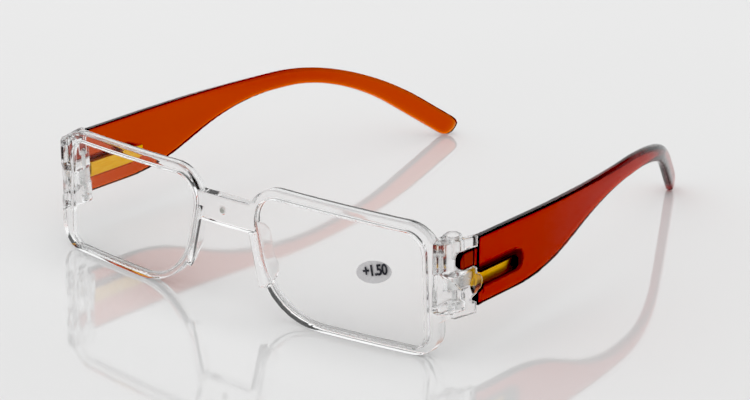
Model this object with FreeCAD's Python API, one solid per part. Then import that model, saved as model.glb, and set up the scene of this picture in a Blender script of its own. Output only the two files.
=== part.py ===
import FreeCAD, Part
import math
import os

# Reading glasses with sprung side hinges, in millimetres.
# X runs across the face (+X is the wearer's left), the front faces -Y, the temples run to +Y, +Z is up.
# While it is built, Y = 0 is the front face at the middle of the bridge and Z = 0 is the table.
# At the end everything is moved along Y so that the middle of its depth is at Y = 0.

V = FreeCAD.Vector

# ---------------------------------------------------------------- driving sizes: front
FACE_RADIUS = 340.0         # wrap of the front, seen from above
FRONT_THICK = 3.2           # front to back, rims and bridge
BRIDGE_WIDTH = 12.0         # between the rims' upper inner corners
BRIDGE_BOTTOM = 22.0
BRIDGE_TOP = 29.9
RIM_WIDTH = 57.6            # one rim along its top
RIM_HEIGHT = 35.7
TOP_DROP = 1.3              # outer end of a rim's top, below its inner end
NASAL_SLANT = 8.0           # a rim's nose side leans out this far by the bottom
TEMPORAL_SLANT = 1.6        # and its ear side this far
RIM_BARS = {"bottom": 1.6, "ear": 3.9, "top": 2.9, "nose": 1.9}
RIM_RADII = {"nose_bottom": 21.0, "ear_bottom": 7.0, "ear_top": 9.0, "nose_top": 9.0}
GATE_RADIUS = 1.0           # moulding gate mark on the bridge
GATE_HEIGHT = 0.35
GATE_RISE = 0.4             # above the middle of the bridge

# ---------------------------------------------------------------- driving sizes: lenses
LENS_THICK = 1.6
LENS_SETBACK = 0.8          # lens front behind the rim's front
GROOVE_DEPTH = 0.6          # how far the lens sits into the rim
LENS_CLEARANCE = 0.04
STICKER_WIDTH = 10.3
STICKER_HEIGHT = 5.9
STICKER_TURN = 16.0         # degrees, stuck on with its outer end up
STICKER_THICK = 0.1
STICKER_X = 46.4
STICKER_Z = 19.6

# ---------------------------------------------------------------- driving sizes: nose pads
PAD_TOP = 25.0
PAD_BOTTOM = 7.6
PAD_DEPTH = 6.6             # how far a pad stands behind the front
PAD_THICK = 1.5
PAD_SPLAY = 22.0            # degrees, pads open towards the back

# ---------------------------------------------------------------- driving sizes: endpieces and hinge
ENDPIECE_REACH = 3.4        # from a rim's upper outer corner out to the middle of the temple
ENDPIECE_BOTTOM = 9.9
ENDPIECE_TOP = 30.5
WALL_THICK = 1.7
CORNER_INSET = 0.9          # outer corner of the endpiece inside the middle of the temple
CORNER_STEP = 1.2           # width of the step beside that corner
CORNER_DROP = 1.5           # the corner starts this far behind the front's face
EDGE_INSET = 0.4            # endpiece's faces inside the rim's faces
RIM_LAP = 2.0               # the endpiece laps over the rim's ear side
NOTCH_RISE = 4.5            # side notch above the endpiece's bottom
NOTCH_STEP = 1.8
NOTCH_OVER_EYE = 2.1        # top of the notch above the eye
FOOT_BACK = 2.7             # front edge of the part below the notch, behind the front's face
FOOT_SLANT = 26.0           # degrees, that edge slopes back as it goes down
NICK_DROP = 3.4             # V nick in the back edge, below the middle of the eye
NICK_HALF = 1.5
NICK_DEPTH = 2.35
PIVOT_INSET = 2.1           # hinge axis inside the temple's inner face
PIVOT_BACK = 4.75           # hinge axis behind the back of the front
HINGE_LEAN = 3.3            # degrees, top of the hinge axis leans forward
KNUCKLE_RADIUS = 2.3
KNUCKLE_RISE = 1.2          # knuckle above the endpiece's bottom, clear of the other folded temple
BOSS_RISE = 0.5             # hinge boss above the endpiece
EYE_MID_Z = 18.9
EYE_HEIGHT = 4.0
EYE_RADIUS = 2.1
RUNNING_GAP = 0.05          # radial, a turning or sliding pin in its hole
FACE_GAP = 0.12             # between the eye and each knuckle
SCREW_RADIUS = 0.7
SCREW_HEAD_RADIUS = 1.35
SCREW_HEAD_HEIGHT = 1.0
SCREW_TAIL = 0.2            # screw's end past the nut
SLOT_WIDTH = 0.4
SLOT_DEPTH = 0.5
SEAT_GAP = 0.03             # a fixed pin or nut in the plastic
HEAD_GAP = 0.15             # around the screw's head
THREAD_GAP = 0.02           # screw in its nut
UPPER_KNUCKLE = 4.0         # solid plastic under the screw head
NUT_FLATS = 2.7
NUT_HEIGHT = 1.4
NUT_RECESS = 0.4            # nut's lower face above the knuckle's

# ---------------------------------------------------------------- driving sizes: temples
TEMPLE_THICK = 2.6
SHOULDER_BACK = 4.1         # temple's front end behind the hinge axis
END_GAP = 0.25              # temple's front end to the endpiece
BLADE_TOP = 29.9
BLADE_HEIGHT = 18.3         # deep front part
ARM_HEIGHT = 5.4            # slender part over the ear
TIP_HEIGHT = 6.4
TEMPLE_LENGTH = 136.7       # front end to tip, measured along Y
BLADE_LENGTH = 27.8         # front end to where the lower edge starts to rise
ARM_START = 61.5            # front end to where the slender part starts
TIP_DROP_ANGLE = 36.5       # degrees
BLADE_RADII = (63.0, 84.0, 60.0, 85.0)
TIP_CORNER = 2.5
END_CORNER = 0.6            # at the hinge end
TEMPLE_STRAIGHT = 22.0      # straight part before it curves in
INWARD_TURNS = ((330.0, 10.5), (110.0, 14.5))   # radius and angle of each bend towards the head

# ---------------------------------------------------------------- driving sizes: spring hinge
HOUSING_THICK = 2.4
HOUSING_HEIGHT = 4.2
HOUSING_LENGTH = 20.0
HOUSING_EMBED = 0.8         # sunk into the temple's inner face
HOUSING_END_WALL = 1.0
HOUSING_EDGE = 0.3
BORE_RADIUS = 0.9
ROD_RADIUS = 0.55
ROD_LENGTH = 16.0
BUSH_LENGTH = 2.0
BUSH_INSET = 0.1            # inside the housing's mouth
RETAINER_LENGTH = 1.0
SPRING_WIRE = 0.14          # radius of the wire
SPRING_GAP = 0.02           # between a coil's end and what it pushes on
SPRING_TURNS = 13
ARM_THICK = 1.3
ARM_DEPTH = 3.4
ARM_GAP = 0.1               # slider's arm to the housing's mouth
WINDOW_LENGTH = 17.1        # opening in the temple that shows part of the housing
WINDOW_BELOW = 2.1          # below the middle of the eye
WINDOW_ABOVE = 1.3
WINDOW_ROUND = 0.97         # share of a half round at the window's end
TONGUE_BOTTOM = 22.6
TONGUE_HEIGHT = 4.6
TONGUE_LENGTH = 7.3
TONGUE_INSET = 0.5          # behind the temple's outer face
SWING_GAP = 0.35            # around anything that swings past
LUG_RADIUS = 2.35
LUG_THICK = 1.1
LUG_DROP = 1.0              # below the middle of the eye
EJECTOR_RADIUS = 1.4
EJECTOR_DEPTH = 0.15
EJECTOR_INSET = 2.8         # from the blade's end and its lower edge


# ---------------------------------------------------------------- small helpers
def rounded_wire(corners, radii, to_point):
    """Closed wire through the corners, each rounded with its own radius, or less on a short side."""
    count = len(corners)
    points = [V(*c, 0) for c in corners]
    backs = [(points[i - 1] - points[i]).normalize() for i in range(count)]
    aheads = [(points[(i + 1) % count] - points[i]).normalize() for i in range(count)]
    halves = [backs[i].getAngle(aheads[i]) / 2 for i in range(count)]
    reaches = [radii[i] / math.tan(halves[i]) for i in range(count)]
    sides = [points[i].distanceToPoint(points[(i + 1) % count]) for i in range(count)]
    room = [sides[i] / max(reaches[i] + reaches[(i + 1) % count], 1e-9) for i in range(count)]
    limits = [min(1, room[i], room[i - 1]) for i in range(count)]
    radii = [radius * limit for radius, limit in zip(radii, limits)]
    starts, mids, ends = [], [], []
    for i in range(count):
        here, back, ahead, half = points[i], backs[i], aheads[i], halves[i]
        reach = reaches[i] * limits[i]
        starts.append(here + back * reach)
        ends.append(here + ahead * reach)
        bisector = (back + ahead).normalize()
        mids.append(here + bisector * (radii[i] / math.sin(half) - radii[i]))
    edges = []
    for i in range(count):
        a, m, b = (to_point(p.x, p.y) for p in (starts[i], mids[i], ends[i]))
        if radii[i] > 0:
            edges.append(Part.Arc(a, m, b).toShape())
        following = starts[(i + 1) % count]
        after = to_point(following.x, following.y)
        if b.distanceToPoint(after) > 1e-5:
            edges.append(Part.LineSegment(b, after).toShape())
    return Part.Wire(edges)


def front_view(corners, radii, y_from, y_to):
    """Solid whose outline is drawn in X and Z, pushed through along Y."""
    wire = rounded_wire(corners, radii, lambda x, z: V(x, y_from, z))
    return Part.Face(wire).extrude(V(0, y_to - y_from, 0))


def side_view(corners, radii, x_from, x_to):
    """Solid whose outline is drawn in Y and Z, pushed through along X."""
    wire = rounded_wire(corners, radii, lambda y, z: V(x_from, y, z))
    return Part.Face(wire).extrude(V(x_to - x_from, 0, 0))


def top_view(corners, radii, z_from, z_to):
    """Solid whose outline is drawn in X and Y, pushed up along Z."""
    wire = rounded_wire(corners, radii, lambda x, y: V(x, y, z_from))
    return Part.Face(wire).extrude(V(0, 0, z_to - z_from))


def box(x, y, z):
    """Box between (low, high) pairs."""
    return Part.makeBox(x[1] - x[0], y[1] - y[0], z[1] - z[0], V(x[0], y[0], z[0]))


def inset_corners(corners, insets):
    """Corners of the same outline with side i, from corner i to i + 1, moved in by insets[i]."""
    count = len(corners)
    lines = []
    for i in range(count):
        a, b = V(*corners[i], 0), V(*corners[(i + 1) % count], 0)
        along = (b - a).normalize()
        lines.append((a + V(-along.y, along.x, 0) * insets[i], along))
    moved = []
    for i in range(count):
        p, d = lines[i - 1]
        q, e = lines[i]
        t = ((q.x - p.x) * e.y - (q.y - p.y) * e.x) / (d.x * e.y - d.y * e.x)
        moved.append((p.x + d.x * t, p.y + d.y * t))
    return moved


def mirrored(shape):
    """The same piece on the other side of the face."""
    return shape.mirror(V(0, 0, 0), V(1, 0, 0))


# ---------------------------------------------------------------- places worked out from the sizes
def face_y(x):
    """Front face of the front at this X."""
    return FACE_RADIUS - math.sqrt(FACE_RADIUS ** 2 - x * x)


NASAL_X = BRIDGE_WIDTH / 2
RIM_END_X = NASAL_X + RIM_WIDTH
TEMPLE_X = RIM_END_X + ENDPIECE_REACH
INNER_FACE = TEMPLE_X - TEMPLE_THICK / 2
OUTER_FACE = TEMPLE_X + TEMPLE_THICK / 2
PIVOT_X = INNER_FACE - PIVOT_INSET
PIVOT_Y = face_y(PIVOT_X) + FRONT_THICK + PIVOT_BACK
SHOULDER_Y = PIVOT_Y + SHOULDER_BACK
WALL_END_Y = SHOULDER_Y - END_GAP
EYE_LOW = EYE_MID_Z - EYE_HEIGHT / 2
EYE_HIGH = EYE_MID_Z + EYE_HEIGHT / 2
HEAD_SEAT = EYE_HIGH + FACE_GAP + UPPER_KNUCKLE
KNUCKLE_LOW = ENDPIECE_BOTTOM + KNUCKLE_RISE
NUT_LOW = KNUCKLE_LOW + NUT_RECESS
HOUSING_OUT = INNER_FACE + HOUSING_EMBED
ROD_X = HOUSING_OUT - HOUSING_THICK / 2
SPRING_RADIUS = (ROD_RADIUS + BORE_RADIUS) / 2     # to the middle of the wire
STEP_X = TEMPLE_X - CORNER_INSET - CORNER_STEP
CORNER_X = TEMPLE_X - CORNER_INSET
FAR = 200.0                 # longer than anything it cuts
PAST_TOP = ENDPIECE_TOP + 5


def on_axis(shape):
    """Lean a shape, drawn around an upright hinge axis, to the real axis."""
    shape.rotate(V(PIVOT_X, PIVOT_Y, EYE_MID_Z), V(1, 0, 0), HINGE_LEAN)
    return shape


def barrel(radius, low, high):
    """Round bar on the hinge axis between two heights."""
    return on_axis(Part.makeCylinder(radius, high - low, V(PIVOT_X, PIVOT_Y, low)))


def wrap_shell(front, back, half_width, low, high):
    """Curved slab that follows the wrap, between two depths behind the front face."""
    centre = V(0, FACE_RADIUS, low)
    outer = Part.makeCylinder(FACE_RADIUS - front, high - low, centre)
    inner = Part.makeCylinder(FACE_RADIUS - back, high - low, centre)
    near = box((-half_width, half_width), (front - 1, FACE_RADIUS / 4), (low, high))
    return outer.cut(inner).common(near)


# ---------------------------------------------------------------- front: rims, bridge, pads, endpieces
def rim_corners():
    """Rim corners at the outer edge: nose bottom, ear bottom, ear top, nose top."""
    return [(NASAL_X + NASAL_SLANT, 0), (RIM_END_X + TEMPORAL_SLANT, 0),
            (RIM_END_X, RIM_HEIGHT - TOP_DROP), (NASAL_X, RIM_HEIGHT)]


def opening(grow):
    """Corners and radii of the lens opening, made larger all round by grow."""
    bars = [RIM_BARS[side] - grow for side in ("bottom", "ear", "top", "nose")]
    radii = list(RIM_RADII.values())
    for i in range(4):
        radii[i] = radii[i] - (bars[i] + bars[i - 1]) / 2
    return inset_corners(rim_corners(), bars), radii


def pad(low, high):
    """One moulded nose pad: an oval fin behind the nose side of a rim."""
    middle = (low + high) / 2
    rise = (high - low) / 2
    lean = math.degrees(math.atan2(NASAL_SLANT, RIM_HEIGHT))
    fin = Part.makeCylinder(1, PAD_THICK, V(0, 0, 0), V(1, 0, 0))
    oval = FreeCAD.Matrix()
    oval.scale(1, PAD_DEPTH, rise)
    fin = fin.transformGeometry(oval)
    fin.rotate(V(0, 0, 0), V(0, 1, 0), -lean)
    fin.rotate(V(0, 0, 0), V(0, 0, 1), -PAD_SPLAY)
    nose_x = NASAL_X + NASAL_SLANT * (RIM_HEIGHT - middle) / RIM_HEIGHT
    fin.translate(V(nose_x, face_y(nose_x) + FRONT_THICK / 2, middle))
    return fin


def endpiece():
    """Corner block that turns back from the rim and carries the hinge knuckles."""
    start_x = RIM_END_X - RIM_LAP
    inner_x = OUTER_FACE - WALL_THICK
    plan = [(start_x, face_y(RIM_END_X) + EDGE_INSET), (STEP_X, face_y(STEP_X) + EDGE_INSET / 2),
            (CORNER_X, face_y(CORNER_X) + CORNER_DROP), (OUTER_FACE, WALL_END_Y), (inner_x, WALL_END_Y),
            (STEP_X - EDGE_INSET, face_y(STEP_X) + FRONT_THICK),
            (start_x, face_y(RIM_END_X) + FRONT_THICK - EDGE_INSET / 2)]
    wall = top_view(plan, [0, 0.6, 1.0, 0, 0, 0.5, 0], ENDPIECE_BOTTOM, ENDPIECE_TOP)
    column = barrel(KNUCKLE_RADIUS, KNUCKLE_LOW, ENDPIECE_TOP + BOSS_RISE)
    web = box((PIVOT_X - KNUCKLE_RADIUS, PIVOT_X + KNUCKLE_RADIUS),
              (face_y(PIVOT_X) + FRONT_THICK / 2, PIVOT_Y), (KNUCKLE_LOW, ENDPIECE_TOP))
    return wall.fuse([column, web]).cut(hinge_cuts())


def hinge_cuts():
    """Everything the hinge, the temple and the screw need out of one endpiece."""
    eye_room = barrel(KNUCKLE_RADIUS + SWING_GAP, EYE_LOW - FACE_GAP, EYE_HIGH + FACE_GAP)
    behind = on_axis(box((PIVOT_X - KNUCKLE_RADIUS - 1, ROD_X + ARM_THICK / 2 + SWING_GAP),
                         (PIVOT_Y - KNUCKLE_RADIUS - 1, WALL_END_Y + 1),
                         (EYE_LOW - FACE_GAP, EYE_HIGH + FACE_GAP)))
    tongue_room = box((PIVOT_X + KNUCKLE_RADIUS, OUTER_FACE + 1),
                      (SHOULDER_Y - TONGUE_LENGTH - SWING_GAP, WALL_END_Y + 1),
                      (TONGUE_BOTTOM - SWING_GAP, TONGUE_BOTTOM + TONGUE_HEIGHT + SWING_GAP))
    tongue_swing = Part.makeCylinder(2 * KNUCKLE_RADIUS, TONGUE_HEIGHT + 2 * SWING_GAP,
                                     V(PIVOT_X, PIVOT_Y, TONGUE_BOTTOM - SWING_GAP))
    tongue_swing = tongue_swing.cut([barrel(KNUCKLE_RADIUS, 0, PAST_TOP),
                                     box((0, FAR), (0, PIVOT_Y), (0, PAST_TOP))])
    notch_low = ENDPIECE_BOTTOM + NOTCH_RISE
    notch_high = EYE_HIGH + NOTCH_OVER_EYE
    notch = side_view([(0, notch_low), (PIVOT_Y, notch_low), (PIVOT_Y, notch_low + NOTCH_STEP),
                       (face_y(RIM_END_X) + EDGE_INSET, notch_high), (0, notch_high)],
                      [0, 0.8, 0.9, 0.6, 0], RIM_END_X + TEMPORAL_SLANT / 2 + RUNNING_GAP, OUTER_FACE + 1)
    notch = notch.cut(barrel(KNUCKLE_RADIUS, 0, PAST_TOP))
    foot_y = face_y(RIM_END_X) + FOOT_BACK
    foot_run = (notch_low - ENDPIECE_BOTTOM) * math.tan(math.radians(FOOT_SLANT))
    foot = side_view([(0, notch_low + EDGE_INSET), (foot_y, notch_low + EDGE_INSET),
                      (foot_y + foot_run, ENDPIECE_BOTTOM - EDGE_INSET), (0, ENDPIECE_BOTTOM - EDGE_INSET)],
                     [0, 0, 0, 0], RIM_END_X + TEMPORAL_SLANT, OUTER_FACE + 1)
    nick_top = EYE_MID_Z - NICK_DROP
    nick = side_view([(WALL_END_Y + 1, nick_top), (WALL_END_Y - NICK_DEPTH, nick_top - NICK_HALF),
                      (WALL_END_Y + 1, nick_top - 2 * NICK_HALF)], [0, 0.5, 0],
                     INNER_FACE, OUTER_FACE + 1)
    shank = barrel(SCREW_RADIUS + SEAT_GAP, 0, PAST_TOP)
    access = barrel(SCREW_HEAD_RADIUS + HEAD_GAP, HEAD_SEAT, PAST_TOP)
    nut_room = hexagon(NUT_FLATS + 2 * SEAT_GAP, 0, NUT_LOW + NUT_HEIGHT)
    return [eye_room, behind, tongue_room, tongue_swing, notch, foot, nick, shank, access, nut_room]


def hexagon(flats, low, high):
    """Hexagonal bar on the hinge axis between two heights."""
    corner = V(flats / math.sqrt(3), 0, 0)
    turned = [FreeCAD.Rotation(V(0, 0, 1), angle).multVec(corner) for angle in range(0, 361, 60)]
    points = [V(PIVOT_X, PIVOT_Y, low) + p for p in turned]
    return on_axis(Part.Face(Part.makePolygon(points)).extrude(V(0, 0, high - low)))


def lug(gap=0.0):
    """Half-round lug on the endpiece's back edge, in a mouth of its own shape in the temple."""
    middle = V(OUTER_FACE - LUG_THICK - gap, WALL_END_Y, EYE_MID_Z - LUG_DROP)
    return Part.makeCylinder(LUG_RADIUS + gap, LUG_THICK + 2 * gap, middle, V(1, 0, 0))


def front_outline():
    """Everything of the front as seen from in front: rims, bridge and the arms out to the endpieces."""
    low_y = -FRONT_THICK
    shapes = [box((-NASAL_X - RIM_RADII["nose_top"] / 2, NASAL_X + RIM_RADII["nose_top"] / 2), (low_y, FAR),
                  (BRIDGE_BOTTOM, BRIDGE_TOP))]
    for side in (1, -1):
        corners = [(side * x, z) for x, z in rim_corners()]
        shapes.append(front_view(corners, list(RIM_RADII.values()), low_y, FAR))
        arm = sorted((side * (RIM_END_X - RIM_LAP), side * STEP_X))
        shapes.append(box(arm, (low_y, FAR), (ENDPIECE_BOTTOM, ENDPIECE_TOP)))
    return shapes[0].fuse(shapes[1:])


def lens_seat(side):
    """What one rim loses to its lens: the opening and the groove round it."""
    corners, radii = opening(0)
    hole = front_view([(side * x, z) for x, z in corners], radii, -FRONT_THICK, FAR)
    corners, radii = opening(GROOVE_DEPTH)
    ring = front_view([(side * x, z) for x, z in corners], radii, -FRONT_THICK, FAR)
    slab = wrap_shell(LENS_SETBACK - LENS_CLEARANCE, LENS_SETBACK + LENS_THICK + LENS_CLEARANCE,
                      OUTER_FACE, 0, RIM_HEIGHT)
    return [hole, ring.common(slab)]


def front_frame():
    slab = wrap_shell(0, FRONT_THICK, OUTER_FACE, 0, RIM_HEIGHT + 1)
    in_front = wrap_shell(-2 * PAD_DEPTH, 0, OUTER_FACE + 5, -1, RIM_HEIGHT + 1)
    half = [pad(PAD_BOTTOM, PAD_TOP), endpiece(), lug()]
    trims = hinge_cuts()
    added = half + [mirrored(p) for p in half]
    removed = [in_front] + lens_seat(1) + lens_seat(-1) + trims + [mirrored(t) for t in trims]
    body = slab.common(front_outline()).fuse(added).cut(removed)
    gate_root = V(0, FRONT_THICK / 4, (BRIDGE_BOTTOM + BRIDGE_TOP) / 2 + GATE_RISE)
    gate = Part.makeCylinder(GATE_RADIUS, GATE_HEIGHT + FRONT_THICK / 4, gate_root, V(0, -1, 0))
    return body.fuse(gate).removeSplitter()


# ---------------------------------------------------------------- lenses and power sticker
def lens(side):
    corners, radii = opening(GROOVE_DEPTH - LENS_CLEARANCE)
    outline = front_view([(side * x, z) for x, z in corners], radii, -FRONT_THICK, FAR)
    shell = wrap_shell(LENS_SETBACK, LENS_SETBACK + LENS_THICK, OUTER_FACE, 0, RIM_HEIGHT)
    return shell.common(outline)


def power_sticker():
    middle = V(STICKER_X, -FRONT_THICK, STICKER_Z)
    oval = Part.Edge(Part.Ellipse(middle, STICKER_WIDTH / 2, STICKER_HEIGHT / 2))
    oval.rotate(middle, V(1, 0, 0), 90)
    oval.rotate(middle, V(0, 1, 0), -STICKER_TURN)
    disc = Part.Face(Part.Wire([oval])).extrude(V(0, FAR, 0))
    shell = wrap_shell(LENS_SETBACK - STICKER_THICK, LENS_SETBACK, OUTER_FACE, 0, RIM_HEIGHT)
    return shell.common(disc)


# ---------------------------------------------------------------- temple
def temple_side():
    """Side outline of the temple: deep blade, slender arm, dropped tip."""
    drop = math.radians(TIP_DROP_ANGLE)
    along = (math.cos(drop), -math.sin(drop))
    across = (math.sin(drop), math.cos(drop))
    half = TIP_HEIGHT / 2
    inner = half - TIP_CORNER
    tip_z = TIP_CORNER + inner * (math.cos(drop) + math.sin(drop))
    tip_y = SHOULDER_Y + TEMPLE_LENGTH - TIP_CORNER - inner * (math.cos(drop) + math.sin(drop))
    tip_low = (tip_y - across[0] * half + along[0] * half, tip_z - across[1] * half + along[1] * half)
    tip_high = (tip_y + across[0] * half + along[0] * half, tip_z + across[1] * half + along[1] * half)
    blade_low = BLADE_TOP - BLADE_HEIGHT
    arm_low = BLADE_TOP - ARM_HEIGHT
    slope = math.tan(drop)
    low_knee = tip_low[0] - (arm_low - tip_low[1]) / slope
    high_knee = tip_high[0] - (BLADE_TOP - tip_high[1]) / slope
    corners = [(SHOULDER_Y, blade_low), (SHOULDER_Y + BLADE_LENGTH, blade_low),
               (SHOULDER_Y + ARM_START, arm_low), (low_knee, arm_low), tip_low, tip_high,
               (high_knee, BLADE_TOP), (SHOULDER_Y, BLADE_TOP)]
    r = BLADE_RADII
    return corners, [END_CORNER, r[0], r[1], r[2], TIP_CORNER, TIP_CORNER, r[3], END_CORNER]


def temple_plan(depth):
    """Edges of one face of the temple seen from above, depth inside its middle."""
    place = V(TEMPLE_X - depth, SHOULDER_Y - TONGUE_LENGTH - 1, 0)
    heading = 0.0
    edges = []

    def go(length):
        nonlocal place
        ahead = place + V(-math.sin(heading), math.cos(heading), 0) * length
        edges.append(Part.LineSegment(place, ahead).toShape())
        place = ahead

    go(TEMPLE_STRAIGHT + TONGUE_LENGTH + 1)
    for radius, turn in INWARD_TURNS:
        radius = radius - depth
        turn = math.radians(turn)
        centre = place + V(-math.cos(heading), -math.sin(heading), 0) * radius
        points = [centre + V(math.cos(heading + turn * k), math.sin(heading + turn * k), 0) * radius
                  for k in (0.5, 1.0)]
        edges.append(Part.Arc(place, points[0], points[1]).toShape())
        place = points[1]
        heading += turn
    go(TEMPLE_LENGTH)
    return edges


def temple():
    half = TEMPLE_THICK / 2
    inner, outer = temple_plan(half), temple_plan(-half)
    ends = [Part.LineSegment(a.Vertexes[k].Point, b.Vertexes[k].Point).toShape()
            for a, b, k in ((inner[0], outer[0], 0), (inner[-1], outer[-1], -1))]
    loop = Part.Wire(Part.__sortEdges__(inner + outer + ends))
    plank = Part.Face(loop).extrude(V(0, 0, BLADE_TOP + 2))
    corners, radii = temple_side()
    blade = plank.common(side_view(corners, radii, 0, OUTER_FACE + 1))

    tongue_x = PIVOT_X + KNUCKLE_RADIUS + SWING_GAP
    tongue = side_view([(SHOULDER_Y - TONGUE_LENGTH, TONGUE_BOTTOM), (SHOULDER_Y + 1, TONGUE_BOTTOM),
                        (SHOULDER_Y + 1, TONGUE_BOTTOM + TONGUE_HEIGHT),
                        (SHOULDER_Y - TONGUE_LENGTH, TONGUE_BOTTOM + TONGUE_HEIGHT)],
                       [TONGUE_HEIGHT / 2, 0, 0, TONGUE_HEIGHT / 2], tongue_x, OUTER_FACE - TONGUE_INSET)

    low, high = EYE_MID_Z - WINDOW_BELOW, EYE_MID_Z + WINDOW_ABOVE
    end_round = WINDOW_ROUND * (high - low) / 2
    window = side_view([(SHOULDER_Y - 1, low), (SHOULDER_Y + WINDOW_LENGTH, low),
                        (SHOULDER_Y + WINDOW_LENGTH, high), (SHOULDER_Y - 1, high)],
                       [0, end_round, end_round, 0], HOUSING_OUT, OUTER_FACE + 1)
    mark = V(INNER_FACE, SHOULDER_Y + EJECTOR_INSET, BLADE_TOP - BLADE_HEIGHT + EJECTOR_INSET)
    ejector = Part.makeCylinder(EJECTOR_RADIUS, EJECTOR_DEPTH, mark, V(1, 0, 0))
    return blade.fuse(tongue).cut([window, lug(SWING_GAP), housing_block(), ejector])


# ---------------------------------------------------------------- spring hinge
def housing_block():
    half = HOUSING_HEIGHT / 2
    return box((HOUSING_OUT - HOUSING_THICK, HOUSING_OUT), (SHOULDER_Y, SHOULDER_Y + HOUSING_LENGTH),
               (EYE_MID_Z - half, EYE_MID_Z + half))


def rod(radius, start, length):
    """Round bar along the slider's line, starting behind the shoulder."""
    return Part.makeCylinder(radius, length, V(ROD_X, SHOULDER_Y + start, EYE_MID_Z), V(0, 1, 0))


def hinge_housing():
    block = housing_block()
    inner_x = HOUSING_OUT - HOUSING_THICK
    edges = [e for e in block.Edges if abs(e.CenterOfMass.x - inner_x) < 0.01]
    block = block.makeFillet(HOUSING_EDGE, edges)
    return block.cut(rod(BORE_RADIUS, -1, 1 + HOUSING_LENGTH - HOUSING_END_WALL))


def lock_bush():
    return rod(BORE_RADIUS, BUSH_INSET, BUSH_LENGTH).cut(rod(ROD_RADIUS + RUNNING_GAP, 0, 2 * BUSH_LENGTH))


def hinge_slider():
    eye = barrel(EYE_RADIUS, EYE_LOW, EYE_HIGH)
    arm = box((ROD_X - ARM_THICK / 2, ROD_X + ARM_THICK / 2), (PIVOT_Y + SCREW_RADIUS, SHOULDER_Y - ARM_GAP),
              (EYE_MID_Z - ARM_DEPTH / 2, EYE_MID_Z + ARM_DEPTH / 2))
    hole = barrel(SCREW_RADIUS + RUNNING_GAP, 0, ENDPIECE_TOP)
    neck = rod(ROD_RADIUS, -2 * ARM_GAP, ROD_LENGTH + 2 * ARM_GAP)
    return eye.fuse([arm, neck]).cut(hole)


def spring_retainer():
    start = ROD_LENGTH - RETAINER_LENGTH
    ring = rod(BORE_RADIUS - RUNNING_GAP, start, RETAINER_LENGTH)
    return ring.cut(rod(ROD_RADIUS, start - 1, RETAINER_LENGTH + 2))


def hinge_spring():
    """Coil between the lock bush and the retainer on the rod's end."""
    start = BUSH_INSET + BUSH_LENGTH + SPRING_WIRE + SPRING_GAP
    length = ROD_LENGTH - RETAINER_LENGTH - SPRING_WIRE - SPRING_GAP - start
    helix = Part.makeHelix(length / SPRING_TURNS, length, SPRING_RADIUS)
    wire = Part.Wire(Part.Edge(Part.Circle(V(SPRING_RADIUS, 0, 0), V(0, 1, 0), SPRING_WIRE)))
    coil = Part.Wire(helix).makePipeShell([wire], True, True)
    coil.rotate(V(0, 0, 0), V(1, 0, 0), -90)
    coil.translate(V(ROD_X, SHOULDER_Y + start, EYE_MID_Z))
    return coil


def hinge_screw():
    top = HEAD_SEAT + SCREW_HEAD_HEIGHT
    head = barrel(SCREW_HEAD_RADIUS, HEAD_SEAT, top)
    shank = barrel(SCREW_RADIUS, NUT_LOW - SCREW_TAIL, HEAD_SEAT)
    slot = on_axis(box((PIVOT_X - KNUCKLE_RADIUS, PIVOT_X + KNUCKLE_RADIUS),
                       (PIVOT_Y - SLOT_WIDTH / 2, PIVOT_Y + SLOT_WIDTH / 2), (top - SLOT_DEPTH, top + 1)))
    return head.fuse(shank).cut(slot).removeSplitter()


def hinge_nut():
    hole = barrel(SCREW_RADIUS + THREAD_GAP, 0, EYE_LOW)
    return hexagon(NUT_FLATS, NUT_LOW, NUT_LOW + NUT_HEIGHT).cut(hole)


# ---------------------------------------------------------------- assembly
def one_solid(name, shape):
    """The only solid of a piece, checked."""
    solids = shape.Solids
    if len(solids) != 1 or not shape.isValid():
        print("CHECK", name, len(solids), [round(s.Volume, 3) for s in solids], shape.isValid())
    return shape if len(solids) != 1 else solids[0]


def build():
    pieces = {"front_frame": front_frame(), "left_lens": lens(1), "right_lens": lens(-1),
              "power_sticker": power_sticker()}
    makers = (temple, hinge_housing, hinge_slider, hinge_spring, lock_bush, spring_retainer,
              hinge_screw, hinge_nut)
    for maker in makers:
        shape = maker()
        pieces["left_" + maker.__name__] = shape
        pieces["right_" + maker.__name__] = mirrored(shape)
    return {name: one_solid(name, shape) for name, shape in pieces.items()}


def main():
    pieces = build()
    everything = Part.Compound(list(pieces.values())).optimalBoundingBox()
    shift = -(everything.YMin + everything.YMax) / 2
    os.makedirs("parts", exist_ok=True)
    for name, shape in pieces.items():
        shape.translate(V(0, shift, 0))
        shape.exportStep("parts/" + name + ".step")
    print("size", [round(v, 3) for v in (everything.XLength, everything.YLength, everything.ZLength)])
    print("lowest", round(everything.ZMin, 4), "shift", round(shift, 4))
    print("hinge axis through", [round(v, 4) for v in (PIVOT_X, PIVOT_Y + shift, EYE_MID_Z)])


main()
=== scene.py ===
import math

import bmesh
import bpy
from mathutils import Matrix, Vector


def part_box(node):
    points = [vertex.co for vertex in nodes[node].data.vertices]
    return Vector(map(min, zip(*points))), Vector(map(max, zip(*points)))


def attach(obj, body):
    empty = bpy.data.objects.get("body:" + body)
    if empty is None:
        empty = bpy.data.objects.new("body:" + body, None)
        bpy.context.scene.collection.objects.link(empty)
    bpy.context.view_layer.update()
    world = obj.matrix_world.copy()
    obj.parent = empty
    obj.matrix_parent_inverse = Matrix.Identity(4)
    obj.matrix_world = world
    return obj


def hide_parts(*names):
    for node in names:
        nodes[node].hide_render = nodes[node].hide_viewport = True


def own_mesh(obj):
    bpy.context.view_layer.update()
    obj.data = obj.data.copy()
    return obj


# Reading glasses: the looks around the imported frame. Metres, in the frame's own axes.

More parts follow.
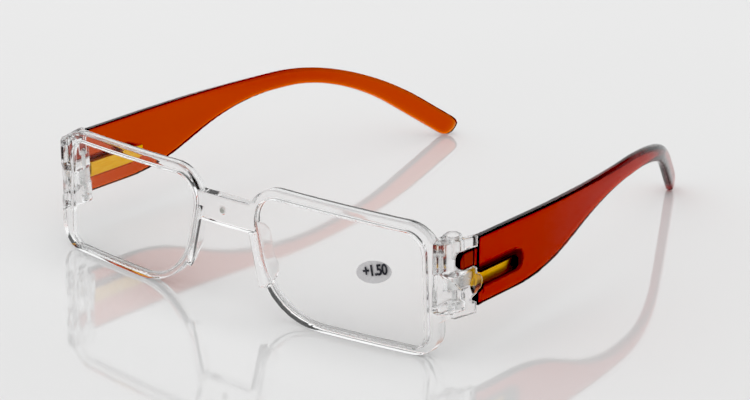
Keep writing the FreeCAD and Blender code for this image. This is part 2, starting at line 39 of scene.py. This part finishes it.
MM = 0.001
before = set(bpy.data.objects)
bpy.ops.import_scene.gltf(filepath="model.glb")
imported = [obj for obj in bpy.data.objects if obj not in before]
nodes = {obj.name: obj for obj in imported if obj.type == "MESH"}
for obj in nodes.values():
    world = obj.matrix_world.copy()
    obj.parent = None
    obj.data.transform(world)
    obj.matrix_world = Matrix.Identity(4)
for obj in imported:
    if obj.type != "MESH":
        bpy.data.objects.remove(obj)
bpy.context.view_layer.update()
SIDES = ("left", "right")
ENDLESS = 1.0                   # more than any piece measures

# ---------------------------------------------------------------- meshes
WELD = 0.001 * MM               # points nearer than this are one
FRAME_VOXEL = 0.16 * MM         # mesh step of the clear front
TEMPLE_VOXEL = 0.25 * MM
KEPT_FACES = 0.3                # share of faces left after thinning flat areas
FRAME_SOFTENING = 14            # smoothing passes that round the moulded edges
GATE_SOFTENING = 3
TEMPLE_SOFTENING = 5
EDGE_SOFTENING = 30             # more passes on a temple's long edges, away from its hinge
ARM_SOFTENING = 100             # and on the oval arm over the ear, which then gets some fullness back
ARM_FULLNESS = 0.08 * MM
ARM_START, ARM_FULL = 0.35, 0.60                # where the arm turns oval, as shares of the temple's length
HINGE_REACH = 26 * MM           # a temple's crisp part, behind its shoulder
HINGE_LOW, HINGE_HIGH = 14.5 * MM, 23.0 * MM    # the heights between which it is crisp
FADE = 2.5 * MM                 # from crisp to soft

# ---------------------------------------------------------------- places on the pieces
MATT_START, MATT_FULL = 62.5 * MM, 64.5 * MM    # from the middle of the face, towards the hinges
WINDOW_LENGTH = 17.1 * MM       # the slot in a temple that shows the gold bar, from the shoulder
WINDOW_HEIGHT = 3.4 * MM
SHADE_PAST = 1.2 * MM           # the painted shade around it goes on past its end, is darkest up to here and clear again from here
SHADE_DEEP = 0.9 * MM           # is darkest up to here
SHADE_END = 1.6 * MM            # and clear again from here
TONGUE_FADE = 0.3 * MM
GATE_ROOM = 3.0 * MM            # around the moulding gate, which stays crisp
GATE_MIDDLE = 26.35 * MM        # its height, in the middle of the bridge
GATE_RADIUS = 1.0 * MM
FACE_RADIUS = 340 * MM          # wrap of the front
LENS_SETBACK = 0.8 * MM
STICKER_THICK = 0.1 * MM
STICKER_TURN = math.radians(16)
LETTER_SIZE = 3.4 * MM
LETTER_STRETCH = 1.15
LETTER_SLANT = 0.12
LETTER_SPACING = 0.92
LETTER_WEIGHT = 0.10 * MM
LETTER_RAISE = 0.03 * MM
NUMBERS_ASIDE, NUMBERS_UP = 0.5 * MM, 0.55 * MM     # from the middle of the sticker
FLOOR_DROP = 0.02 * MM          # the floor lies just under what rests on it
FLOOR_REACH = 4.0

# ---------------------------------------------------------------- colours
BLACK, WHITE = (0, 0, 0), (1, 1, 1)
PATCH_GREY = (0.10, 0.10, 0.10)
BLACK_LEVEL = (0.033, 0.033, 0.033)             # values up to this are black in the picture
CLEAR_INDEX, LENS_INDEX, AMBER_INDEX = 1.31, 1.36, 1.33     # low, for outlines as faint as the real ones
CLEAR_TINT, CLEAR_DEPTH = (0.90, 0.93, 0.94), 8.0           # depths are absorption per metre
AMBER_TINT = (0.895, 0.46, 0.017)
AMBER_DEPTH_WITH_PAINTED_SHADE = {"left": 2000.0, "right": 1500.0}             # the left temple is given deeper colour than the right: painted shade on a copy of the same plastic
# painted shade around the slot over the gold bar
WINDOW_PAINTED_SHADE = (0.10, 0.02, 0.04)
# painted shade on the tongue, at the hinge
TONGUE_PAINTED_SHADE = (0.50, 0.25, 0.45)
GATE_TINT = (0.22, 0.23, 0.20)
MATT_ROUGHNESS = 0.20
GROUND_ROUGHNESS = 0.3


# ---------------------------------------------------------------- shader nodes
def new_material(name):
    """A material with only a Principled shader: the material, its node tree and that shader."""
    made = bpy.data.materials.new(name)
    made.use_nodes = True
    tree = made.node_tree
    tree.nodes.clear()
    output = tree.nodes.new("ShaderNodeOutputMaterial")
    shader = tree.nodes.new("ShaderNodeBsdfPrincipled")
    tree.links.new(shader.outputs["BSDF"], output.inputs["Surface"])
    return made, tree, shader


def noise(tree, scale, detail=2.0, stretch=(1, 1, 1)):
    """Noise in the piece's own coordinates, in features per metre."""
    place = tree.nodes.new("ShaderNodeTexCoord")
    mapping = tree.nodes.new("ShaderNodeMapping")
    mapping.inputs["Scale"].default_value = stretch
    texture = tree.nodes.new("ShaderNodeTexNoise")
    texture.inputs["Scale"].default_value = scale
    texture.inputs["Detail"].default_value = detail
    tree.links.new(place.outputs["Object"], mapping.inputs["Vector"])
    tree.links.new(mapping.outputs["Vector"], texture.inputs["Vector"])
    return texture.outputs["Fac"]


def ramp(tree, source, stops):
    """Colour ramp over a 0 to 1 value."""
    node = tree.nodes.new("ShaderNodeValToRGB")
    points = node.color_ramp.elements
    while len(points) < len(stops):
        points.new(0.5)
    for point, (position, colour) in zip(points, stops):
        point.position = position
        point.color = (*colour, 1)
    tree.links.new(source, node.inputs["Fac"])
    return node.outputs["Color"]


def two_tone(tree, source, first, second):
    """From one colour to another over the middle of a noise's range."""
    return ramp(tree, source, [(0.3, first), (0.7, second)])


def spread(tree, source, low, high, start=0.0, end=1.0):
    """Maps start to low and end to high, and nothing goes past them."""
    node = tree.nodes.new("ShaderNodeMapRange")
    node.inputs["From Min"].default_value = start
    node.inputs["From Max"].default_value = end
    node.inputs["To Min"].default_value = low
    node.inputs["To Max"].default_value = high
    tree.links.new(source, node.inputs["Value"])
    return node.outputs["Result"]


def size_of(tree, coordinates, axis):
    """The size of one coordinate, whatever its sign."""
    place = tree.nodes.new("ShaderNodeTexCoord")
    split = tree.nodes.new("ShaderNodeSeparateXYZ")
    size = tree.nodes.new("ShaderNodeMath")
    size.operation = "ABSOLUTE"
    tree.links.new(place.outputs[coordinates], split.inputs["Vector"])
    tree.links.new(split.outputs[axis], size.inputs[0])
    return size.outputs["Value"]


def close_to(tree, middle, half, near, far):
    """1 up to a distance of near from a box in the piece's own axes, and 0 from far on."""
    place = tree.nodes.new("ShaderNodeTexCoord")
    vector = place.outputs["Object"]
    steps = (("SUBTRACT", middle), ("ABSOLUTE", None), ("SUBTRACT", half), ("MAXIMUM", (0, 0, 0)))
    for operation, value in steps:
        step = tree.nodes.new("ShaderNodeVectorMath")
        step.operation = operation
        if value is not None:
            step.inputs[1].default_value = value
        tree.links.new(vector, step.inputs[0])
        vector = step.outputs["Vector"]
    length = tree.nodes.new("ShaderNodeVectorMath")
    length.operation = "LENGTH"
    tree.links.new(vector, length.inputs[0])
    return spread(tree, length.outputs["Value"], 0.0, 1.0, start=far, end=near)


def darkened(tree, colour, mask, dark):
    """The colour, going over to a dark one where the mask is 1."""
    node = tree.nodes.new("ShaderNodeMix")
    node.data_type = "RGBA"
    light_socket, dark_socket = [socket for socket in node.inputs if socket.type == "RGBA"]
    dark_socket.default_value = (*dark, 1)
    tree.links.new(mask, node.inputs["Factor"])
    tree.links.new(colour, light_socket)
    return [socket for socket in node.outputs if socket.type == "RGBA"][0]


def bump(tree, shader, height, depth):
    """Small surface relief, depth in metres."""
    node = tree.nodes.new("ShaderNodeBump")
    node.inputs["Strength"].default_value = 1.0
    node.inputs["Distance"].default_value = depth
    tree.links.new(height, node.inputs["Height"])
    tree.links.new(node.outputs["Normal"], shader.inputs["Normal"])


def absorb(tree, colour, density):
    """Tint that deepens with the thickness of the plastic."""
    node = tree.nodes.new("ShaderNodeVolumeAbsorption")
    node.inputs["Color"].default_value = (*colour, 1)
    node.inputs["Density"].default_value = density
    tree.links.new(node.outputs["Volume"], tree.get_output_node("ALL").inputs["Volume"])


# ---------------------------------------------------------------- places that a material treats apart: painted shade on the temples, and the moulding gate
def painted_shade_near_window(tree):
    """Painted shade: 1 close around the slot over the gold bar, 0 elsewhere in a temple."""
    low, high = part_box("left_hinge_housing")
    radius = WINDOW_HEIGHT / 2
    half_length = (WINDOW_LENGTH + SHADE_PAST - radius) / 2
    middle = (0, low.y + half_length, (low.z + high.z) / 2)
    return close_to(tree, middle, (ENDLESS, half_length, 0), radius + SHADE_DEEP, radius + SHADE_END)


def painted_shade_on_tongue(tree):
    """Painted shade: 1 on a temple's tongue, in front of its shoulder, at the hinge, 0 elsewhere in a
    temple.
    """
    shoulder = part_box("left_hinge_housing")[0].y
    middle = (0, shoulder - TONGUE_FADE - ENDLESS, 0)
    return close_to(tree, middle, (ENDLESS, ENDLESS, ENDLESS), 0.0, TONGUE_FADE)


def on_gate(tree):
    """1 on the moulding gate in the middle of the bridge, 0 elsewhere in the front."""
    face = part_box("front_frame")[0].y
    return close_to(tree, (0, face, GATE_MIDDLE), (0, GATE_RADIUS, 0), 0.6 * GATE_RADIUS, 1.1 * GATE_RADIUS)


# ---------------------------------------------------------------- materials
def clear_plastic():
    """Polished acrylic, left matt by the mould around the hinges."""
    made, tree, shader = new_material("clear_plastic")
    shader.inputs["Transmission Weight"].default_value = 1.0
    shader.inputs["IOR"].default_value = CLEAR_INDEX
    fine = noise(tree, 900.0)
    tint = two_tone(tree, fine, (0.985, 0.99, 0.99), WHITE)
    tint = darkened(tree, tint, on_gate(tree), GATE_TINT)
    tree.links.new(tint, shader.inputs["Base Color"])
    matt = spread(tree, size_of(tree, "Object", "X"), 0.0, MATT_ROUGHNESS, MATT_START, MATT_FULL)
    both = tree.nodes.new("ShaderNodeMath")
    both.operation = "ADD"
    tree.links.new(matt, both.inputs[0])
    tree.links.new(spread(tree, fine, 0.0, 0.03), both.inputs[1])
    tree.links.new(both.outputs["Value"], shader.inputs["Roughness"])
    bump(tree, shader, noise(tree, 160.0), 0.008 * MM)
    absorb(tree, CLEAR_TINT, CLEAR_DEPTH)
    return made


def lens_plastic():
    """Coated lens, polished on its two faces, with a matt ground edge."""
    made, tree, shader = new_material("lens_plastic")
    shader.inputs["Transmission Weight"].default_value = 1.0
    shader.inputs["IOR"].default_value = LENS_INDEX
    shader.inputs["Specular Tint"].default_value = (0.06, 0.06, 0.06, 1)
    tint = two_tone(tree, noise(tree, 400.0), (0.985, 0.99, 0.99), WHITE)
    tree.links.new(tint, shader.inputs["Base Color"])
    edge = spread(tree, size_of(tree, "Normal", "Y"), 0.0, GROUND_ROUGHNESS, 0.7, 0.4)
    tree.links.new(edge, shader.inputs["Roughness"])
    return made


def amber_plastic(name, depth):
    """Clear amber moulding, with painted shade around the slot over the gold bar and on the tongue."""
    made, tree, shader = new_material(name)
    shader.inputs["Transmission Weight"].default_value = 1.0
    shader.inputs["IOR"].default_value = AMBER_INDEX
    shader.inputs["Specular Tint"].default_value = (0.3, 0.2, 0.2, 1)
    clouds = noise(tree, 60.0, 3.0, (1, 0.4, 1))
    tint = two_tone(tree, clouds, (0.95, 0.92, 0.88), WHITE)
    # painted shade on the tongue, at the hinge
    tint = darkened(tree, tint, painted_shade_on_tongue(tree), TONGUE_PAINTED_SHADE)
    # painted shade around the slot over the gold bar
    tint = darkened(tree, tint, painted_shade_near_window(tree), WINDOW_PAINTED_SHADE)
    tree.links.new(tint, shader.inputs["Base Color"])
    tree.links.new(spread(tree, noise(tree, 700.0), 0.0, 0.05), shader.inputs["Roughness"])
    bump(tree, shader, noise(tree, 120.0), 0.01 * MM)
    absorb(tree, AMBER_TINT, depth)
    return made


def gold_metal():
    """Gold-coloured bar with fine lines along its length."""
    made, tree, shader = new_material("gold_metal")
    shader.inputs["Metallic"].default_value = 1.0
    drawn = noise(tree, 500.0, 3.0, (6, 0.5, 6))
    tone = two_tone(tree, drawn, (0.86, 0.42, 0.02), (0.97, 0.60, 0.07))
    tree.links.new(tone, shader.inputs["Base Color"])
    tree.links.new(spread(tree, drawn, 0.22, 0.42), shader.inputs["Roughness"])
    bump(tree, shader, drawn, 0.01 * MM)
    return made


def steel():
    """Turned steel of the screw, nut, slider and spring."""
    made, tree, shader = new_material("spring_steel")
    shader.inputs["Metallic"].default_value = 1.0
    turned = noise(tree, 900.0)
    tone = two_tone(tree, turned, (0.74, 0.74, 0.74), (0.90, 0.89, 0.88))
    tree.links.new(tone, shader.inputs["Base Color"])
    tree.links.new(spread(tree, turned, 0.2, 0.38), shader.inputs["Roughness"])
    bump(tree, shader, turned, 0.005 * MM)
    return made


def sticker_film():
    made, tree, shader = new_material("sticker_film")
    paper = noise(tree, 1500.0, 3.0)
    tone = two_tone(tree, paper, (0.58, 0.57, 0.58), (0.67, 0.66, 0.67))
    tree.links.new(tone, shader.inputs["Base Color"])
    tree.links.new(spread(tree, paper, 0.45, 0.6), shader.inputs["Roughness"])
    bump(tree, shader, paper, 0.005 * MM)
    return made


def sticker_ink():
    made, tree, shader = new_material("sticker_ink")
    ink = noise(tree, 1200.0)
    tone = two_tone(tree, ink, (0.02, 0.02, 0.025), (0.05, 0.05, 0.06))
    tree.links.new(tone, shader.inputs["Base Color"])
    tree.links.new(spread(tree, ink, 0.4, 0.55), shader.inputs["Roughness"])
    return made


def floor_gloss():
    """Pale table top that mirrors the glasses faintly."""
    made, tree, shader = new_material("floor_gloss")
    tone = two_tone(tree, noise(tree, 3.0), (0.785, 0.785, 0.785), (0.80, 0.80, 0.80))
    tree.links.new(tone, shader.inputs["Base Color"])
    shader.inputs["IOR"].default_value = 1.9
    shader.inputs["Roughness"].default_value = 0.06
    return made


def paint(piece, material):
    """Gives a piece this material only."""
    piece.data.materials.clear()
    piece.data.materials.append(material)


# ---------------------------------------------------------------- mesh work
def clamped(value):
    return min(1, max(0, value))


def finish_mesh(piece):
    """Applies a piece's modifiers to its mesh."""
    graph = bpy.context.evaluated_depsgraph_get()
    mesh = bpy.data.meshes.new_from_object(piece.evaluated_get(graph))
    piece.modifiers.clear()
    piece.data = mesh
    mesh.name = piece.name


def copy_of(node, name):
    """A new object with the welded mesh of a CAD node."""
    mesh = bpy.data.meshes.new(name)
    work = bmesh.new()
    work.from_mesh(nodes[node].data)
    bmesh.ops.remove_doubles(work, verts=work.verts, dist=WELD)
    work.to_mesh(mesh)
    work.free()
    piece = bpy.data.objects.new(name, mesh)
    bpy.context.scene.collection.objects.link(piece)
    return piece


def remesh(piece, voxel):
    """An even mesh, ready for smoothing."""
    change = piece.modifiers.new("even_mesh", "REMESH")
    change.mode = "VOXEL"
    change.voxel_size = voxel
    finish_mesh(piece)


def thin_out(piece):
    """Fewer faces where the surface is flat."""
    change = piece.modifiers.new("fewer_faces", "DECIMATE")
    change.ratio = KEPT_FACES
    finish_mesh(piece)


def swell(piece, distance, weights):
    """Moves each point out along its normal, by its weight."""
    moves = [distance * weights(vertex.co) * vertex.normal for vertex in piece.data.vertices]
    for vertex, move in zip(piece.data.vertices, moves):
        vertex.co += move


def soften(piece, passes, weights=None):
    """Rounds edges by smoothing, everywhere or by a weight for each point."""
    change = piece.modifiers.new("soft_edges", "SMOOTH")
    change.factor = 0.5
    change.iterations = passes
    if weights:
        group = piece.vertex_groups.new(name="soft")
        for vertex in piece.data.vertices:
            group.add([vertex.index], weights(vertex.co), "REPLACE")
        change.vertex_group = group.name
    finish_mesh(piece)
    piece.vertex_groups.clear()


def shade_smooth(piece):
    for face in piece.data.polygons:
        face.use_smooth = True


# ---------------------------------------------------------------- pieces
def clear_front(material):
    """The moulded front, with soft edges."""
    piece = copy_of("front_frame", "clear_front")
    remesh(piece, FRAME_VOXEL)
    soften(piece, GATE_SOFTENING)
    soften(piece, FRAME_SOFTENING, lambda co: clamped((abs(co.x) - GATE_ROOM) / FADE))
    thin_out(piece)
    shade_smooth(piece)
    paint(piece, material)
    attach(piece, "front")
    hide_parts("front_frame")


def amber_temple(side, material):
    """One temple: crisp around its hinge, rounded along its edges and over the ear."""
    node = side + "_temple"
    piece = copy_of(node, side + "_amber_temple")
    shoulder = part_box(side + "_hinge_housing")[0].y
    low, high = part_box(node)
    arm_start = low.y + ARM_START * (high.y - low.y)
    arm_full = low.y + ARM_FULL * (high.y - low.y)

    def along_edges(co):
        """0 on the tongue and around the hinge, 1 on the rest."""
        behind = (co.y - shoulder - HINGE_REACH) / FADE
        below = (HINGE_LOW - co.z) / FADE
        above = (co.z - HINGE_HIGH) / FADE
        return clamped(max(behind, below, above)) * clamped((co.y - shoulder) / FADE)

    def over_ear(co):
        """0 on the blade, 1 on the arm over the ear."""
        return clamped((co.y - arm_start) / (arm_full - arm_start))

    remesh(piece, TEMPLE_VOXEL)
    soften(piece, TEMPLE_SOFTENING)
    soften(piece, EDGE_SOFTENING, along_edges)
    soften(piece, ARM_SOFTENING, over_ear)
    swell(piece, ARM_FULLNESS, over_ear)
    thin_out(piece)
    shade_smooth(piece)
    paint(piece, material)
    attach(piece, side + "_temple")
    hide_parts(node)


def coil_spring(side, material):
    """The spring, which shortens as the temple is drawn back along its rod; here it only rides with the
    temple, at its rest length.
    """
    node, joint = side + "_hinge_spring", side + "_spring_travel"
    piece = copy_of(node, side + "_coil_spring")
    shade_smooth(piece)
    paint(piece, material)
    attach(piece, side + "_temple")
    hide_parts(node)
    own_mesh(piece)


def flat_numbers():
    """The lens power as a flat mesh about the origin, turned to face the front."""
    curve = bpy.data.curves.new("power_numbers", "FONT")
    curve.body = "+1.50"
    curve.size = LETTER_SIZE
    curve.align_x = "CENTER"
    curve.align_y = "CENTER"
    curve.offset = LETTER_WEIGHT
    curve.shear = LETTER_SLANT
    curve.space_character = LETTER_SPACING
    writing = bpy.data.objects.new("power_writing", curve)
    writing.scale = (1, LETTER_STRETCH, 1)
    writing.rotation_euler = (math.pi / 2, -STICKER_TURN, 0)
    bpy.context.scene.collection.objects.link(writing)
    bpy.context.view_layer.update()
    graph = bpy.context.evaluated_depsgraph_get()
    mesh = bpy.data.meshes.new_from_object(writing.evaluated_get(graph))
    mesh.transform(writing.matrix_world)
    bpy.data.objects.remove(writing)
    return mesh


def power_numbers(material):
    """The plain lens power printed on the sticker, bent to the lens."""
    low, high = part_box("power_sticker")
    middle = (low + high) / 2
    mesh = flat_numbers()
    work = bmesh.new()
    work.from_mesh(mesh)
    bmesh.ops.triangulate(work, faces=work.faces)
    bmesh.ops.subdivide_edges(work, edges=work.edges, cuts=1)
    made = bmesh.ops.extrude_face_region(work, geom=work.faces)
    for vertex in [g for g in made["geom"] if isinstance(g, bmesh.types.BMVert)]:
        vertex.co.y -= LETTER_RAISE
    outer = FACE_RADIUS - LENS_SETBACK + STICKER_THICK
    lens_middle_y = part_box("front_frame")[0].y + FACE_RADIUS
    for vertex in work.verts:
        x = vertex.co.x + middle.x + NUMBERS_ASIDE
        lens_y = lens_middle_y - math.sqrt(outer ** 2 - x * x)
        vertex.co = (x, lens_y + vertex.co.y, vertex.co.z + middle.z + NUMBERS_UP)
    bmesh.ops.recalc_face_normals(work, faces=work.faces)
    work.to_mesh(mesh)
    work.free()
    piece = bpy.data.objects.new("power_numbers", mesh)
    bpy.context.scene.collection.objects.link(piece)
    paint(piece, material)
    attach(piece, "front")


def paint_cad_pieces(bright):
    """Materials of the CAD nodes that are shown as they are; bright is the steel."""
    gold = gold_metal()
    lens_clear = lens_plastic()
    for side in SIDES:
        paint(nodes[side + "_lens"], lens_clear)
        for part in ("_hinge_housing", "_lock_bush"):
            paint(nodes[side + part], gold)
        for part in ("_hinge_slider", "_spring_retainer", "_hinge_screw", "_hinge_nut"):
            paint(nodes[side + part], bright)
    paint(nodes["power_sticker"], sticker_film())


# ---------------------------------------------------------------- stage
def floor(material):
    mesh = bpy.data.meshes.new("floor")
    corners = [(x * FLOOR_REACH, y * FLOOR_REACH, 0) for x, y in ((-1, -1), (1, -1), (1, 1), (-1, 1))]
    mesh.from_pydata(corners, [], [(0, 1, 2, 3)])
    piece = bpy.data.objects.new("floor", mesh)
    piece.location.z = -FLOOR_DROP
    bpy.context.scene.collection.objects.link(piece)
    paint(piece, material)


def softbox(name, place, aim, width, height, watts):
    """A rectangular lamp that points at a place."""
    data = bpy.data.lights.new(name, "AREA")
    data.shape = "RECTANGLE"
    data.size = width
    data.size_y = height
    data.energy = watts
    lamp = bpy.data.objects.new(name, data)
    lamp.location = place
    lamp.rotation_euler = (Vector(aim) - Vector(place)).to_track_quat("-Z", "Y").to_euler()
    bpy.context.scene.collection.objects.link(lamp)


def studio_world():
    """A white room with one dark patch, high up behind the glasses, that their top edges mirror."""
    world = bpy.data.worlds.new("studio")
    world.use_nodes = True
    tree = world.node_tree
    tree.nodes.clear()
    place = tree.nodes.new("ShaderNodeTexCoord")
    split = tree.nodes.new("ShaderNodeSeparateXYZ")
    both = tree.nodes.new("ShaderNodeMath")
    both.operation = "MULTIPLY"
    background = tree.nodes.new("ShaderNodeBackground")
    output = tree.nodes.new("ShaderNodeOutputWorld")
    tree.links.new(place.outputs["Generated"], split.inputs["Vector"])
    high = ramp(tree, split.outputs["Z"], [(0.42, BLACK), (0.50, WHITE), (0.80, WHITE), (0.88, BLACK)])
    behind = ramp(tree, split.outputs["Y"], [(0.30, BLACK), (0.50, WHITE)])
    tree.links.new(high, both.inputs[0])
    tree.links.new(behind, both.inputs[1])
    colour = ramp(tree, both.outputs["Value"], [(0.0, WHITE), (1.0, PATCH_GREY)])
    tree.links.new(colour, background.inputs["Color"])
    background.inputs["Strength"].default_value = 1.0
    tree.links.new(background.outputs["Background"], output.inputs["Surface"])
    bpy.context.scene.world = world


def camera():
    """A long lens, from the wearer's front left, a little above."""
    azimuth, elevation, roll = math.radians(38.16), math.radians(19.642), math.radians(0.406)
    distance = 0.6972
    aim = Vector((-1.235, -12.352, 11.019)) * MM
    back = Vector((math.sin(azimuth) * math.cos(elevation), -math.cos(azimuth) * math.cos(elevation),
                   math.sin(elevation)))
    data = bpy.data.cameras.new("camera")
    data.sensor_width = 36.0
    data.lens = 120.1
    data.clip_start = 0.01
    data.clip_end = 20.0
    eye = bpy.data.objects.new("camera", data)
    turn = (-back).to_track_quat("-Z", "Y").to_matrix().to_4x4()
    eye.matrix_world = Matrix.Translation(aim + back * distance) @ turn @ Matrix.Rotation(roll, 4, "Z")
    bpy.context.scene.collection.objects.link(eye)
    bpy.context.scene.camera = eye


def view_tones():
    """Plain tones, with the darkest ones drawn down to black."""
    view = bpy.context.scene.view_settings
    view.view_transform = "Standard"
    view.use_curve_mapping = True
    view.curve_mapping.black_level = BLACK_LEVEL
    view.curve_mapping.update()


# ---------------------------------------------------------------- the whole scene
view_tones()
bright = steel()
# one amber plastic in two copies, the left one darker as painted shade
amber = {"left": amber_plastic("amber_plastic", AMBER_DEPTH_WITH_PAINTED_SHADE["left"]),
         "right": amber_plastic("amber_plastic_painted_lighter", AMBER_DEPTH_WITH_PAINTED_SHADE["right"])}
clear_front(clear_plastic())
for side in SIDES:
    amber_temple(side, amber[side])
    coil_spring(side, bright)
power_numbers(sticker_ink())
paint_cad_pieces(bright)
floor(floor_gloss())
studio_world()
softbox("overhead", place=(0, 0.1, 1.3), aim=(0, 0, 0), width=1.2, height=1.2, watts=2.0)
camera()
